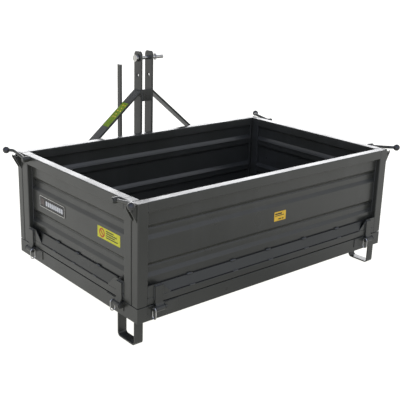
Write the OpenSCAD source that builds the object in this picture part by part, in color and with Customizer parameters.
// Tipping transport box for a three-point linkage, with drop sides. All sizes are in millimetres.
// X runs along the box, +Y points to the tractor and +Z is up. The origin lies on the ground, under
// the middle of the whole implement.

/* [Box] */
// Length of the box over the long panels
box_l = 1500; // [1200:10:2000]
// Width of the box over its long sides
box_w = 960; // [780:10:1200]
// Height of the base frame
base_h = 64; // [52:1:90]
// Width of the base frame's flanges
base_flange = 40; // [30:1:60]
// Thickness of the base frame's folded plate
base_t = 4; // [3:0.5:6]
// Thickness of the floor sheet
floor_t = 3; // [2:0.5:4]
// Height of the feet under the base frame
foot_h = 107; // [85:1:140]

/* [Side panels] */
// Height of a side panel
panel_h = 425; // [350:5:520]
// Depth of a panel's tubes
panel_t = 40; // [34:1:50]
// Height of the top rail
rail_h = 43; // [34:1:55]
// Height of the bottom rail
sill_h = 31; // [25:1:40]
// Width of the upright at each end of a panel
stile_w = 50; // [40:1:65]
// Wall of the panels' tubes
tube_wall = 3; // [2:0.5:4]
// Gap between the panels and the base frame below them
seam = 3; // [2:0.5:5]
// Gap between the end of a short panel and the long panel beside it
corner_gap = 3.5; // [2:0.5:6]
// How far the pressed sheet lies behind the front of its frame
sheet_inset = 24; // [18:0.5:30]
// Thickness of the pressed sheet
sheet_t = 2; // [1.5:0.5:3]
// Depth of the two pressed ribs
rib_d = 12; // [6:0.5:13]
// Height of a rib's slopes
rib_slope = 15; // [10:1:20]
// Height of a rib over its slopes
rib_h = 62; // [50:1:75]
// Height of the top of the upper rib below the panel's top
upper_rib = 100; // [80:1:130]
// Height of the top of the lower rib above the panel's foot
lower_rib = 169; // [150:1:180]
// Height of the top of the sloped strip above the panel's foot
strip_top = 72; // [60:1:80]
// Thickness of the sloped strip
strip_t = 2.5; // [2:0.5:4]
// Open joint along both edges of the sloped strip, bridged by stitch welds
weld_gap = 2.5; // [1:0.5:4]
// Height of a corner gusset above the panel's foot
gusset_top = 82; // [65:1:95]
// Length of a corner gusset's level top
gusset_flat = 60; // [45:1:70]
// Length of a corner gusset along the bottom rail
gusset_w = 115; // [95:1:140]
// Thickness of a corner gusset
gusset_t = 4; // [3:0.5:6]

/* [Hinges] */
// Distance from the end of a long panel to the middle of its hinge
long_hinge_in = 100; // [85:1:130]
// Distance from the end of a short panel to the middle of its hinge
short_hinge_in = 74; // [72:1:110]
// Distance of the hinge line outside the panels
hinge_out = 16; // [14:0.5:22]
// Height of the hinge line above the bottom of the base frame
hinge_z = 50; // [40:1:52]
// Radius of a hinge pin
pin_r = 6; // [4:0.5:7]
// Radial running clearance between a pin and what turns on it
run_gap = 0.05; // [0.02:0.01:0.1]
// Radius of a strap's eye
eye_r = 11; // [9:0.5:12]
// Width of a hinge strap
strap_w = 38; // [30:1:48]
// Thickness of a hinge strap
strap_t = 8; // [5:0.5:10]
// Height of a strap's top above the panel's foot
strap_top = 76; // [60:1:80]
// Thickness of a hinge lug
lug_t = 6; // [4:0.5:8]
// Radius of a hinge lug's round end
lug_r = 12; // [10:0.5:13]
// Side clearance between a strap and each lug
side_gap = 0.75; // [0.4:0.05:1.5]
// Length of a backing plate past its hinge
backing_l = 96; // [80:1:120]
// Height of a backing plate
backing_h = 40; // [30:1:45]
// Thickness of a backing plate
backing_t = 3; // [2:0.5:4]
// Radius of the wire of a retaining ring
wire_r = 2; // [1.5:0.25:2.5]
// Width of a retaining ring outside its wire
ring_w = 26; // [20:1:30]
// Height of a retaining ring outside its wire
ring_h = 52; // [40:1:56]

/* [Corner latches] */
// Distance from the end of a short panel to the latch pivot
latch_in = 76.5; // [60:0.5:110]
// Depth of the latch pivot below the rim
latch_drop = 10; // [8:0.5:16]
// Distance of the latch rod outside the short panels
latch_out = 20; // [18:0.5:28]
// Radius of the latch rod
rod_r = 7; // [5:0.5:8]
// Angle at which the latch rod rises towards the corner
rod_rise = 8.4; // [7:0.1:12]
// Angle by which the rod drops from rest into its saddles
rod_seat = 7; // [5:0.5:7]
// Radius of the latch pivot's pin
latch_pin_r = 7; // [5:0.5:8]
// Radius of the latch boss
boss_r = 13; // [11:0.5:16]
// Width of the latch boss
boss_w = 26; // [20:1:30]
// Radius of the ball on the latch rod
ball_r = 16; // [12:0.5:20]
// Distance of the ball's centre outside the short panels
ball_x = 44; // [38:1:55]
// Distance of the ball's centre outside the long panels
ball_y = 20; // [18:1:30]
// Thickness of a corner lug
ear_t = 5; // [4:0.5:7]
// Height of a corner lug
ear_h = 65; // [50:1:80]
// Distance that a corner lug stands out
ear_out = 30; // [28:1:38]
// Distance of the outer corner lug inside the long panel's face
ear_in = 6; // [6:0.5:9]
// Radius of the cross pin through two corner lugs
ear_pin_r = 4.5; // [3:0.5:6]

/* [Linkage frame] */
// Gap between the box and the linkage frame
hitch_gap = 15; // [8:0.5:30]
// Width of the flat bars of the mast
bar_w = 60; // [50:1:80]
// Thickness of the flat bars of the mast
bar_t = 10; // [8:0.5:15]
// Clear gap between the two uprights of the mast
mast_gap = 58; // [46:1:70]
// Height of the mast above the bottom of the base frame
mast_h = 905; // [800:5:1000]
// Depth of the upper top-link hole below the mast's top
top_hole = 35; // [32:1:45]
// Distance between the two top-link holes
hole_pitch = 88; // [60:1:110]
// Radius of the top-link pin
top_pin_r = 9.5; // [9.5:0.5:12.5]
// Height of the cross plate's middle above the bottom of the base frame
plate_z = 681; // [640:1:700]
// Height of the mast's cross plate
plate_h = 62; // [50:1:80]
// Thickness of the mast's cross plate
plate_t = 8; // [6:0.5:10]
// Height at which the braces meet the mast
brace_z = 700; // [690:1:740]
// Slope of the braces, in degrees below level
brace_slope = 40; // [36:0.1:46]
// Distance between the shoulders of the two lower link pins
link_span = 683; // [680:1:825]
// Height from the lower link pins to the lower top-link hole
link_drop = 460; // [440:5:500]
// Radius of a lower link pin
link_pin_r = 11; // [11:0.5:14]
// Free length of a lower link pin
link_pin_l = 90; // [70:1:110]
// Size of the square tube that joins the posts
crossbar = 50; // [40:1:60]
// Size of the square headstock beam
beam = 60; // [50:1:80]
// Distance between the middles of the two rails under the box
rail_span = 600; // [500:10:700]
// Width of a rail under the box
under_w = 40; // [30:1:50]
// Height of a rail under the box
under_h = 52; // [44:1:56]
// Distance of the tipping shaft from the box's middle, away from the tractor
tip_y = 200; // [120:5:260]
// Depth of the tipping shaft below the base frame
tip_z = 32; // [30:0.5:36]
// Radius of the tipping shaft
shaft_r = 15; // [12:0.5:18]

/* [Release lever] */
// Distance of the release lever from the mast's middle
lever_x = 116; // [100:1:160]
// Width of the release lever
lever_w = 28; // [22:1:36]
// Thickness of the release lever
lever_t = 10; // [6:0.5:12]
// Height of the release lever's top above the bottom of the base frame
lever_top = 838; // [700:5:900]
// Gap between the end of the lever's nose and the striker
nose_gap = 1.5; // [1:0.25:3]

/* [Feet] */
// Width of a foot's flat bar
foot_w = 40; // [30:1:50]
// Thickness of a foot's flat bar
foot_t = 7; // [5:0.5:9]
// Length of a foot
foot_l = 120; // [90:1:150]
// Distance of a rear foot from the end of the box
foot_in_x = 5; // [2:1:20]
// Distance of a rear foot from the rear face of the box
foot_in_y = 25; // [10:1:30]
// Outer radius of a foot's bends
foot_r = 18; // [12:1:24]

/* [Badge] */
// Length of the badge plate
badge_l = 221; // [160:1:260]
// Height of the badge plate
badge_h = 54; // [30:1:60]
// Thickness of the badge plate
badge_t = 2; // [1:0.5:3]
// Distance of the badge plate's middle from the box's middle
badge_y = 209; // [100:1:230]
// Distance of the badge plate's top below the upper rib
badge_drop = 11; // [1:1:30]

/* [Hidden] */

$fn = 48;
over = 1;                                  // how far a cut runs past the face that it opens
seat = 0.2;                                // gap under a loose piece that hangs on a pin
paint = [0.20, 0.20, 0.18];
zinc = [0.72, 0.72, 0.70];
knob = [0.05, 0.05, 0.05];
badge_black = [0.03, 0.03, 0.03];

panel_z = base_h + seam;                   // foot of the panels
rim_z = panel_z + panel_h;                 // top of the box
short_l = box_w - 2 * (panel_t + corner_gap);
long_hinge = box_l / 2 - long_hinge_in;
short_hinge = short_l / 2 - short_hinge_in;
lug_x = strap_w / 2 + side_gap;            // inner face of a hinge lug
axle_drop = panel_z - hinge_z;             // hinge line below the panels' foot

latch_y = short_l / 2 - latch_in;          // latch pivot, from the box's middle
latch_z = rim_z - latch_drop;
bend_y = box_w / 2 + ball_y - (ball_x - latch_out);   // where the rod turns outwards
bend_run = bend_y - latch_y;
bend_z = latch_z + bend_run * tan(rod_rise);
saddle_r = rod_r + 0.5;
ear_y = [box_w / 2 - ear_t / 2 - ear_in, box_w / 2 - panel_t + ear_t / 2 + 2];
// The rod's underside once it has dropped into the saddles, at the inner lug
saddle_z = latch_z + (ear_y[1] - latch_y) * tan(rod_rise - rod_seat) - rod_r;
ear_top = saddle_z + 4;
ear_pin_x = latch_out - 3;                 // cross pin, outside the end of the long panel
ear_pin_z = ear_top - 16;

hitch_y = box_w / 2 + hitch_gap;           // near face of the linkage frame
bar_y = hitch_y + bar_w / 2;               // middle of the mast's flat bars
mast_x = mast_gap / 2 + bar_t;             // outer face of an upright
mast_corner = bar_w / 3;                   // radius of the corners at the mast's top
top_hole_z = mast_h - top_hole;
pin_head = mast_x + 11;                    // middle of the top-link pin's head, from the mast's middle
pin_end = mast_x + 80;                     // its other end
linch_x = mast_x + 33;                     // where the linch pin crosses it
low_hole_z = top_hole_z - hole_pitch;
link_z = low_hole_z - link_drop;
link_x = link_span / 2;                    // outer face of a post
link_head_t = 6;                           // thickness of a lower link pin's head
link_head_gap = 1;                         // from that head to the crossbar's end
link_shoulder = 2;                         // how much wider the pin is inside its post
post_over = 15;                            // how far a post stands over the middle of its brace
post_top = brace_z - (link_x - bar_t - mast_x) * tan(brace_slope) + post_over;
beam_over = 8;                             // how far the beam stands higher than the rails
beam_top = under_h / 2 - tip_z + beam_over;
beam_z = beam_top - beam;
rail_low = -tip_z - under_h / 2;
bearing_w = 50;                            // width of a tipping bearing and of a cross member
bearing_wall = 7;                          // wall of a tipping bearing
bearing_gap = 5;                           // from a tipping bearing to the rail beside it
bearing_x = rail_span / 2 - under_w / 2 - bearing_w / 2 - bearing_gap;

lever_gap = 4;                             // from the mast's flats to the release lever
lever_y = hitch_y + bar_w + lever_gap + lever_w / 2;  // middle of the release lever
lever_pivot_z = beam_top - beam / 2;
bolt_r = 8;
bolt_head = 8;                             // thickness of the lever bolt's head
striker_size = 16;
striker_l = 40;                            // reach of the striker from the box
striker_z = beam_top + beam_over;          // underside of the striker bar

y_min = -(box_w / 2 + ball_y + ball_r);
y_max = lever_y + lever_w / 2;
mid_y = (y_min + y_max) / 2;

// ---------------------------------------------------------------- placing

// Moves the drawing frame, which is the middle of the base frame's underside, to the part's origin.
module placed() {
  translate([0, -mid_y, foot_h]) children();
}

// Carries a piece drawn where x and y are positive to the side given by the signs sx and sy.
module at(sx, sy = 1) {
  placed() mirror([sx < 0 ? 1 : 0, 0, 0]) mirror([0, sy < 0 ? 1 : 0, 0]) children();
}

// Carries a piece drawn along X, with the outside of its panel at y = 0, to one side of the box.
module on_side(side) {
  placed()
    if (side == "rear") translate([0, -box_w / 2, 0]) children();
    else if (side == "front") translate([0, box_w / 2, 0]) rotate([0, 0, 180]) children();
    else if (side == "left") translate([-box_l / 2, 0, 0]) rotate([0, 0, -90]) children();
    else translate([box_l / 2, 0, 0]) rotate([0, 0, 90]) children();
}

// A block with its middle at x = 0 and its lowest corner at y and z.
module block(size, y = 0, z = 0) {
  translate([-size[0] / 2, y, z]) cube(size);
}

// Extrudes an outline drawn in y and z along X, centred on x = 0.
module along_x(length) {
  translate([-length / 2, 0, 0]) rotate([90, 0, 90]) linear_extrude(length) children();
}

// Extrudes an outline drawn in x and z along +Y, from y = 0.
module along_y(length) {
  translate([0, length, 0]) rotate([90, 0, 0]) linear_extrude(length) children();
}

// A round bar along X, centred on x = 0.
module bar_x(r, length) {
  rotate([0, 90, 0]) cylinder(r = r, h = length, center = true);
}

// A round bar along Y, from y = 0.
module bar_y_from(r, length) {
  rotate([-90, 0, 0]) cylinder(r = r, h = length);
}

// ---------------------------------------------------------------- side panels

// The outline of a corner gusset, from the upright's inner edge.
module gusset_outline() {
  polygon([[0, sill_h], [0, gusset_top], [gusset_flat, gusset_top], [gusset_w, sill_h]]);
}

// Both corner gussets of a panel, as plates that start at the panel's front.
module gussets(length) {
  for (s = [0, 1])
    mirror([s, 0, 0]) translate([-length / 2 + stile_w, 0, 0]) along_y(gusset_t) gusset_outline();
}

// The welded frame: two uprights, a top rail and a bottom rail of square tube, open at the foot.
module panel_frame(length) {
  inner_t = panel_t - 2 * tube_wall;
  translate([0, 0, panel_z])
    difference() {
      union() {
        for (s = [-1, 1])
          translate([s * (length - stile_w) / 2, 0, 0]) block([stile_w, panel_t, panel_h]);
        block([length - stile_w, panel_t, rail_h], 0, panel_h - rail_h);
        block([length - stile_w, panel_t, sill_h]);
        gussets(length);
      }
      for (s = [-1, 1])
        translate([s * (length - stile_w) / 2, 0, 0])
          block([stile_w - 2 * tube_wall, inner_t, panel_h - tube_wall + over], tube_wall, -over);
      block([length - stile_w, inner_t, rail_h - 2 * tube_wall], tube_wall, panel_h - rail_h + tube_wall);
      block([length - stile_w, inner_t, sill_h - 2 * tube_wall], tube_wall, tube_wall);
    }
}

// The front line of the pressed sheet from top to bottom, as depth and height.
function rib_line(top) = [
  [sheet_inset, top],
  [sheet_inset + rib_d, top - rib_slope],
  [sheet_inset + rib_d, top - rib_h + rib_slope],
  [sheet_inset, top - rib_h]
];
function sheet_line() = concat(
  [[sheet_inset, panel_h - rail_h]],
  rib_line(panel_h - upper_rib),
  rib_line(lower_rib),
  [[sheet_inset, sill_h]]
);

// The pressed sheet with its two ribs.
module panel_sheet(length) {
  line = sheet_line();
  last = len(line) - 1;
  back = [for (i = [0 : last]) line[last - i] + [sheet_t, 0]];
  translate([0, 0, panel_z]) along_x(length - 2 * stile_w) polygon(concat(line, back));
}

// The sloped strip that sheds the load off the bottom rail, cut back to the corner gussets.
module panel_strip(length) {
  low = [weld_gap / 2, sill_h + weld_gap];
  high = [sheet_inset - weld_gap, strip_top];
  reach = norm(high - low);
  side = [strip_t * (high[1] - low[1]) / reach, -strip_t * (high[0] - low[0]) / reach];
  translate([0, 0, panel_z])
    difference() {
      along_x(length - 2 * (stile_w + gusset_flat)) polygon([low, high, high + side, low + side]);
      gussets(length);
      block([length, panel_t, sill_h]);
    }
}

// The hinge straps of a panel, with their eyes on the hinge line.
module panel_straps(hinge) {
  for (s = [-1, 1])
    translate([s * hinge, 0, panel_z])
      along_x(strap_w)
        difference() {
          union() {
            translate([-strap_t, 0]) square([strap_t, strap_top]);
            translate([-hinge_out, -axle_drop]) circle(r = eye_r);
            polygon([
              [-strap_t, strap_t], [-backing_t - 1.5, strap_t], [-backing_t - 1.5, 0],
              [-hinge_out + eye_r * 0.9, -axle_drop], [-hinge_out, -axle_drop],
              [-hinge_out, -axle_drop + eye_r * 0.9]
            ]);
          }
          translate([-hinge_out, -axle_drop]) circle(r = pin_r + run_gap);
        }
}

// The two lugs of one hinge and the backing plate that runs inwards from them along the base frame.
module lug_pair(inwards) {
  mirror([inwards > 0 ? 0 : 1, 0, 0]) {
    for (s = [-1, 1])
      translate([s * (lug_x + lug_t / 2), 0, 0])
        along_x(lug_t)
          difference() {
            union() {
              translate([-hinge_out, hinge_z]) circle(r = lug_r);
              translate([-hinge_out, hinge_z - lug_r]) square([hinge_out, 2 * lug_r]);
            }
            translate([-hinge_out, hinge_z]) circle(r = pin_r);
          }
    translate([-lug_x - lug_t, -backing_t, base_h - backing_h - 2])
      cube([lug_x + lug_t + backing_l, backing_t, backing_h]);
  }
}

// A hinge pin with a head at one end. The ring hangs at the other end.
module hinge_pin(ring_side) {
  half = lug_x + lug_t;
  tail = 10;                               // how far the pin runs past its lugs for the ring
  mirror([ring_side > 0 ? 1 : 0, 0, 0])
    translate([0, -hinge_out, hinge_z]) {
      translate([-half - tail, 0, 0]) rotate([0, 90, 0]) cylinder(r = pin_r, h = 2 * half + tail);
      translate([half, 0, 0]) rotate([0, 90, 0]) cylinder(r = pin_r + 3, h = 4);
      translate([-half - tail, 0, 0]) rotate([0, 90, 0]) cylinder(r = pin_r + 1, h = 2.5);
    }
}

// A long wire ring that hangs on the pin's end, in the plane across the pin.
module ring_clip(ring_side) {
  bend = ring_w / 2 - wire_r;              // radius of the wire's middle in the round ends
  straight = ring_h - ring_w;
  hang = hinge_z + pin_r + seat + wire_r - bend;
  translate([ring_side * (lug_x + lug_t + 4.5), -hinge_out, hang])
    rotate([0, 90, 0]) {
      rotate([0, 0, 90]) rotate_extrude(angle = 180) translate([bend, 0]) circle(r = wire_r, $fn = 24);
      translate([straight, 0, 0])
        rotate([0, 0, -90]) rotate_extrude(angle = 180) translate([bend, 0]) circle(r = wire_r, $fn = 24);
      for (s = [-1, 1])
        translate([0, s * bend, 0]) rotate([0, 90, 0]) cylinder(r = wire_r, h = straight, $fn = 24);
    }
}

// Repeats a hinge's pieces at both hinges of the three sides that open. Each side gives its hinge
// distance, and for each hinge the direction towards the middle and the side where the ring hangs.
HINGED = [
  ["rear", long_hinge, [[-1, 1, -1], [1, -1, -1]]],
  ["left", short_hinge, [[-1, 1, 1], [1, -1, -1]]],
  ["right", short_hinge, [[-1, 1, 1], [1, -1, -1]]]
];

// ---------------------------------------------------------------- corner latches

// The corner lugs of a long panel: two plates with a saddle each, and a cross pin, at both ends.
module corner_lugs(sy) {
  lip = 10;                                // height of a lug's outer edge
  stub = 3;                                // how far the cross pin stands out of each lug
  for (sx = [-1, 1])
    at(sx, sy) {
      for (y = ear_y)
        translate([box_l / 2, y - ear_t / 2, 0])
          along_y(ear_t)
            difference() {
              polygon([[0, ear_top - ear_h], [0, ear_top], [ear_out, ear_top], [ear_out, ear_top - lip]]);
              translate([latch_out, saddle_z + rod_r]) circle(r = saddle_r);
              translate([ear_pin_x, ear_pin_z]) circle(r = ear_pin_r);
            }
      translate([box_l / 2 + ear_pin_x, ear_y[1] - ear_t / 2 - stub, ear_pin_z])
        bar_y_from(ear_pin_r, ear_y[0] - ear_y[1] + ear_t + 2 * stub);
    }
}

// The pivot pins of a short panel's two latches, each with a retaining cap outside the boss.
module latch_pins() {
  cap = latch_out + boss_w / 2 + seat;
  for (s = [-1, 1])
    translate([s * latch_y, 0, latch_z])
      rotate([90, 0, 0]) {
        cylinder(r = latch_pin_r, h = cap);
        translate([0, 0, cap]) cylinder(r = latch_pin_r + 3, h = 3);
        cylinder(r = latch_pin_r + 4, h = latch_out - boss_w / 2 - seat);
      }
}

// One latch in the corner where x and y are positive: boss, rising rod and outward bend.
module latch() {
  boss_x = box_l / 2 + latch_out;
  reach = (ball_x - latch_out) * sqrt(2);
  difference() {
    union() {
      translate([boss_x, latch_y, latch_z]) bar_x(boss_r, boss_w);
      translate([boss_x, latch_y, latch_z])
        rotate([rod_rise - 90, 0, 0]) cylinder(r = rod_r, h = bend_run / cos(rod_rise));
      translate([boss_x, bend_y, bend_z]) sphere(r = rod_r);
      translate([boss_x, bend_y, bend_z]) rotate([0, 90, 45]) cylinder(r = rod_r, h = reach);
    }
    translate([boss_x, latch_y, latch_z]) bar_x(latch_pin_r + run_gap, boss_w + 2 * over);
  }
}

// The ball on the end of a latch, bored for the rod.
module latch_ball() {
  centre = [box_l / 2 + ball_x, box_w / 2 + ball_y, bend_z];
  translate(centre)
    difference() {
      sphere(r = ball_r);
      rotate([0, -90, 45]) cylinder(r = rod_r, h = ball_r + over);
    }
}

// ---------------------------------------------------------------- linkage frame

// One upright of the mast, on the side where x is positive.
module upright() {
  translate([mast_gap / 2, bar_y, 0])
    rotate([90, 0, 90]) linear_extrude(bar_t)
      difference() {
        union() {
          hull()
            for (s = [-1, 1])
              translate([s * (bar_w / 2 - mast_corner), mast_h - mast_corner]) circle(r = mast_corner);
          translate([-bar_w / 2, beam_top]) square([bar_w, mast_h - mast_corner - beam_top]);
        }
        for (z = [top_hole_z, low_hole_z]) translate([0, z]) circle(r = top_pin_r + run_gap);
      }
}

// One brace, from the upright down to its post, on the side where x is positive.
module brace() {
  run = link_x - bar_t - mast_x;
  fall = run * tan(brace_slope);
  half = bar_t / cos(brace_slope) / 2;
  translate([mast_x, hitch_y, brace_z])
    along_y(bar_w) polygon([[0, half], [run, half - fall], [run, -half - fall], [0, -half]]);
}

// One post of the headstock, which carries a lower link pin.
module post() {
  difference() {
    translate([link_x - bar_t, hitch_y, beam_top]) cube([bar_t, bar_w, post_top - beam_top]);
    translate([link_x, bar_y, link_z]) bar_x(link_pin_r + link_shoulder, 2 * (bar_t + over));
  }
}

// One lower link pin with a head inside its post, and a hole for the tractor's linch pin.
module link_pin() {
  hole_in = 14;                            // from the pin's end to its cross hole
  hole_r = 5.5;
  difference() {
    translate([link_x, bar_y, link_z])
      rotate([0, 90, 0]) {
        cylinder(r = link_pin_r, h = link_pin_l);
        translate([0, 0, -bar_t]) cylinder(r = link_pin_r + link_shoulder, h = bar_t);
        translate([0, 0, -bar_t - link_head_t]) cylinder(r = link_pin_r + link_head_t, h = link_head_t);
      }
    translate([link_x + link_pin_l - hole_in, bar_y, link_z - link_pin_r - over])
      cylinder(r = hole_r, h = 2 * (link_pin_r + over));
  }
}

// One rail under the box, with a round end about the tipping shaft.
module under_rail() {
  translate([rail_span / 2, 0, 0])
    along_x(under_w)
      difference() {
        union() {
          translate([-tip_y, -tip_z]) circle(r = under_h / 2);
          translate([-tip_y, rail_low]) square([tip_y + hitch_y, under_h]);
        }
        translate([-tip_y, -tip_z]) circle(r = shaft_r);
      }
}

// A rectangle whose two lower corners are round.
module rounded_foot(width, height, r) {
  translate([0, r]) square([width, height - r]);
  translate([r, 0]) square([width - 2 * r, height]);
  for (x = [r, width - r]) translate([x, r]) circle(r = r);
}

// A foot bent from flat bar, standing on the ground with its middle at x and its near leg at y.
module foot(x, y, height) {
  placed()
    translate([x, y, -foot_h])
      along_x(foot_w)
        difference() {
          rounded_foot(foot_l, height, foot_r);
          translate([foot_t, foot_t]) rounded_foot(foot_l - 2 * foot_t, height, foot_r - foot_t);
        }
}

// ---------------------------------------------------------------- box nodes

module base_frame() {
  color(paint) placed()
    difference() {
      block([box_l, box_w, base_h], -box_w / 2);
      block([box_l - 2 * base_flange, box_w - 2 * base_flange, base_h + 2 * over],
            base_flange - box_w / 2, -over);
      block([box_l - 2 * base_t, box_w - 2 * base_t, base_h - 2 * base_t], base_t - box_w / 2, base_t);
    }
}

module floor_sheet() {
  size = [box_l - 2 * base_flange, box_w - 2 * base_flange, floor_t];
  color(paint) placed() block(size, -size[1] / 2, base_h - base_t);
}

// Two inner members stand over the tipping bearings, and two outer ones carry the floor's ends.
module cross_members() {
  width = bearing_w;
  length = box_w - 2 * base_flange;
  inner = bearing_x;
  outer = (inner + box_l / 2) / 2;
  color(paint) placed()
    for (x = [-outer, -inner, inner, outer])
      translate([x, 0, 0])
        difference() {
          block([width, length, base_h - base_t], -length / 2);
          block([width - 2 * base_t, length + 2 * over, base_h - 2 * base_t], -length / 2 - over, -over);
        }
}

module tip_bearings() {
  inner = bearing_x;
  tube_r = shaft_r + bearing_wall;
  color(paint) placed()
    for (x = [-inner, inner])
      translate([x, 0, 0])
        along_x(bearing_w)
          difference() {
            union() {
              translate([-tip_y, -tip_z]) circle(r = tube_r);
              translate([-tip_y - tube_r, -tip_z]) square([2 * tube_r, tip_z]);
            }
            translate([-tip_y, -tip_z]) circle(r = shaft_r + run_gap);
          }
}

module striker() {
  color(paint) placed()
    translate([-lever_x, 0, 0]) block([striker_size, striker_l, striker_size], box_w / 2, striker_z);
}

module foot_left() {
  color(paint) foot(-(box_l / 2 - foot_in_x - foot_w / 2), foot_in_y - box_w / 2, foot_h);
}

module foot_right() {
  color(paint) foot(box_l / 2 - foot_in_x - foot_w / 2, foot_in_y - box_w / 2, foot_h);
}

module hinge_lugs() {
  color(paint)
    for (side = HINGED)
      on_side(side[0])
        for (h = side[2]) translate([h[0] * side[1], 0, 0]) lug_pair(h[1]);
}

module hinge_pins() {
  color(paint)
    for (side = HINGED)
      on_side(side[0])
        for (h = side[2]) translate([h[0] * side[1], 0, 0]) hinge_pin(h[2]);
}

module ring_clips() {
  color(zinc)
    for (side = HINGED)
      on_side(side[0])
        for (h = side[2]) translate([h[0] * side[1], 0, 0]) ring_clip(h[2]);
}

// ---------------------------------------------------------------- panel nodes

// The front panel doesn't open: it stands on two pads that are welded to the base frame.
module front_frame() {
  pad_l = 80;
  color(paint) on_side("front") {
    panel_frame(box_l);
    for (s = [-1, 1])
      translate([s * (box_l - pad_l) / 2 - s * stile_w, 0, 0]) block([pad_l, panel_t, seam], 0, base_h);
  }
}
module front_sheet() color(paint) on_side("front") panel_sheet(box_l);
module front_strip() color(paint) on_side("front") panel_strip(box_l);
module front_corner_lugs() color(paint) corner_lugs(1);

module rear_frame() color(paint) on_side("rear") panel_frame(box_l);
module rear_sheet() color(paint) on_side("rear") panel_sheet(box_l);
module rear_strip() color(paint) on_side("rear") panel_strip(box_l);
module rear_straps() color(paint) on_side("rear") panel_straps(long_hinge);
module rear_corner_lugs() color(paint) corner_lugs(-1);

module left_frame() color(paint) on_side("left") panel_frame(short_l);
module left_sheet() color(paint) on_side("left") panel_sheet(short_l);
module left_strip() color(paint) on_side("left") panel_strip(short_l);
module left_straps() color(paint) on_side("left") panel_straps(short_hinge);
module left_latch_pins() color(paint) on_side("left") latch_pins();

module right_frame() color(paint) on_side("right") panel_frame(short_l);
module right_sheet() color(paint) on_side("right") panel_sheet(short_l);
module right_strip() color(paint) on_side("right") panel_strip(short_l);
module right_straps() color(paint) on_side("right") panel_straps(short_hinge);
module right_latch_pins() color(paint) on_side("right") latch_pins();

// The badge plate lies on the left sheet, between its two ribs.
module badge_plate() {
  top = panel_z + panel_h - upper_rib - rib_h - badge_drop;
  color(badge_black)
    on_side("left")
      translate([-badge_y, 0, 0]) block([badge_l, badge_t, badge_h], sheet_inset - badge_t, top - badge_h);
}

// ---------------------------------------------------------------- latch nodes

module latch_rear_left() color(paint) at(-1, -1) latch();
module latch_rear_right() color(paint) at(1, -1) latch();
module latch_front_left() color(paint) at(-1, 1) latch();
module latch_front_right() color(paint) at(1, 1) latch();
module ball_rear_left() color(knob) at(-1, -1) latch_ball();
module ball_rear_right() color(knob) at(1, -1) latch_ball();
module ball_front_left() color(knob) at(-1, 1) latch_ball();
module ball_front_right() color(knob) at(1, 1) latch_ball();

// ---------------------------------------------------------------- linkage frame nodes

module mast_upright_left() color(paint) at(-1) upright();
module mast_upright_right() color(paint) at(1) upright();
module mast_cross_plate() {
  color(paint) placed() block([mast_gap, plate_t, plate_h], hitch_y, plate_z - plate_h / 2);
}
module brace_left() color(paint) at(-1) brace();
module brace_right() color(paint) at(1) brace();
module post_left() color(paint) at(-1) post();
module post_right() color(paint) at(1) post();

// Three lengths of tube at the height of the link pins: post to upright, between the uprights, and on.
module crossbars() {
  side_l = link_x - bar_t - link_head_t - link_head_gap - mast_x;
  low = link_z - crossbar / 2;
  near = bar_y - crossbar / 2;
  color(paint) placed() {
    for (s = [-1, 1])
      translate([s * (mast_x + side_l / 2), 0, 0])
        difference() {
          block([side_l, crossbar, crossbar], near, low);
          block([side_l + 2 * over, crossbar - 2 * base_t, crossbar - 2 * base_t],
                near + base_t, low + base_t);
        }
    block([mast_gap, crossbar, crossbar], near, low);
  }
}

module headstock_beam() {
  length = 2 * link_x;
  color(paint) placed()
    difference() {
      block([length, beam, beam], hitch_y, beam_z);
      block([length + 2 * over, beam - 2 * base_t, beam - 2 * base_t], hitch_y + base_t, beam_z + base_t);
    }
}

// The ear on the back of the beam that carries the lever bolt.
module lever_ear() {
  color(paint) placed()
    translate([-lever_x + lever_t + seat, 0, 0])
      along_x(lever_t)
        difference() {
          union() {
            translate([lever_y, lever_pivot_z]) circle(r = lever_w / 2);
            translate([hitch_y + beam, lever_pivot_z - lever_w / 2])
              square([lever_y - hitch_y - beam, lever_w]);
          }
          translate([lever_y, lever_pivot_z]) circle(r = bolt_r);
        }
}

module under_rail_left() color(paint) at(-1) under_rail();
module under_rail_right() color(paint) at(1) under_rail();
module front_foot_left() color(paint) foot(-rail_span / 2, hitch_y + beam - foot_l, foot_h + beam_z);
module front_foot_right() color(paint) foot(rail_span / 2, hitch_y + beam - foot_l, foot_h + beam_z);
module link_pin_left() color(zinc) at(-1) link_pin();
module link_pin_right() color(zinc) at(1) link_pin();
module tipping_shaft() {
  color(zinc) placed() translate([0, -tip_y, -tip_z]) bar_x(shaft_r, rail_span + under_w + 20);
}

// ---------------------------------------------------------------- release lever and pins

// The bolt that the release lever turns on, through the ear.
module lever_bolt() {
  shank = 2 * lever_t + 2 * seat;
  color(zinc) placed()
    translate([-lever_x - lever_t / 2 - seat, lever_y, lever_pivot_z])
      rotate([0, 90, 0]) {
        cylinder(r = bolt_r, h = shank);
        translate([0, 0, -bolt_head]) cylinder(r = bolt_r + 5, h = bolt_head);
        translate([0, 0, shank]) cylinder(r = bolt_r + 5, h = bolt_head);
      }
}

// The release lever, with the nose that turns in over the box's striker.
module release_lever() {
  nose_z = striker_z + striker_size + 2;
  nose_y = box_w / 2 + striker_l + nose_gap;
  color(paint) placed()
    translate([-lever_x, 0, 0])
      along_x(lever_t)
        difference() {
          union() {
            translate([lever_y - lever_w / 2, lever_pivot_z]) square([lever_w, lever_top - lever_pivot_z]);
            translate([lever_y, lever_pivot_z]) circle(r = lever_w / 2);
            translate([nose_y, nose_z]) square([lever_y - nose_y, striker_size]);
          }
          translate([lever_y, lever_pivot_z]) circle(r = bolt_r + run_gap);
        }
}

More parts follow.
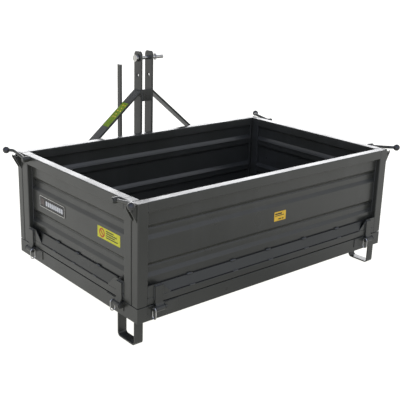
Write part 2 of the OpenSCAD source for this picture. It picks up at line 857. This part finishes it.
// The pin for the tractor's top link: a head, a shank and a cross hole for the linch pin.
module top_link_pin() {
  color(zinc) placed()
    translate([0, bar_y, top_hole_z])
      difference() {
        union() {
          translate([-pin_head, 0, 0]) rotate([0, 90, 0]) cylinder(r = top_pin_r, h = pin_head + pin_end);
          translate([-pin_head - 6, 0, 0]) rotate([0, 90, 0]) cylinder(r = top_pin_r + 8, h = 14);
        }
        translate([linch_x, 0, -top_pin_r - over]) cylinder(r = 5, h = 2 * (top_pin_r + over));
      }
}

// The linch pin: a short pin down through the top-link pin, with a wire bail that straddles it.
module linch_pin() {
  bail_r = top_pin_r + 3;
  color(zinc) placed()
    translate([linch_x, bar_y, top_hole_z]) {
      translate([0, 0, -top_pin_r - 6]) cylinder(r = 5 - run_gap, h = 2 * top_pin_r + 7);
      translate([0, 0, top_pin_r + 1]) cylinder(r = 7, h = 8);
      translate([0, 0, 2])
        rotate([90, 0, 90]) rotate_extrude(angle = 180) translate([bail_r, 0]) circle(r = wire_r, $fn = 24);
      for (s = [-1, 1])
        translate([0, s * bail_r, -top_pin_r]) cylinder(r = wire_r, h = top_pin_r + 2, $fn = 24);
    }
}

// ---------------------------------------------------------------- output

base_frame();
floor_sheet();
cross_members();
tip_bearings();
striker();
foot_left();
foot_right();
hinge_lugs();
hinge_pins();
ring_clips();
front_frame();
front_sheet();
front_strip();
front_corner_lugs();
rear_frame();
rear_sheet();
rear_strip();
rear_straps();
rear_corner_lugs();
left_frame();
left_sheet();
left_strip();
left_straps();
left_latch_pins();
badge_plate();
right_frame();
right_sheet();
right_strip();
right_straps();
right_latch_pins();
latch_rear_left();
latch_rear_right();
latch_front_left();
latch_front_right();
ball_rear_left();
ball_rear_right();
ball_front_left();
ball_front_right();
mast_upright_left();
mast_upright_right();
mast_cross_plate();
brace_left();
brace_right();
post_left();
post_right();
crossbars();
headstock_beam();
under_rail_left();
under_rail_right();
front_foot_left();
front_foot_right();
link_pin_left();
link_pin_right();
tipping_shaft();
lever_ear();
lever_bolt();
release_lever();
top_link_pin();
linch_pin();
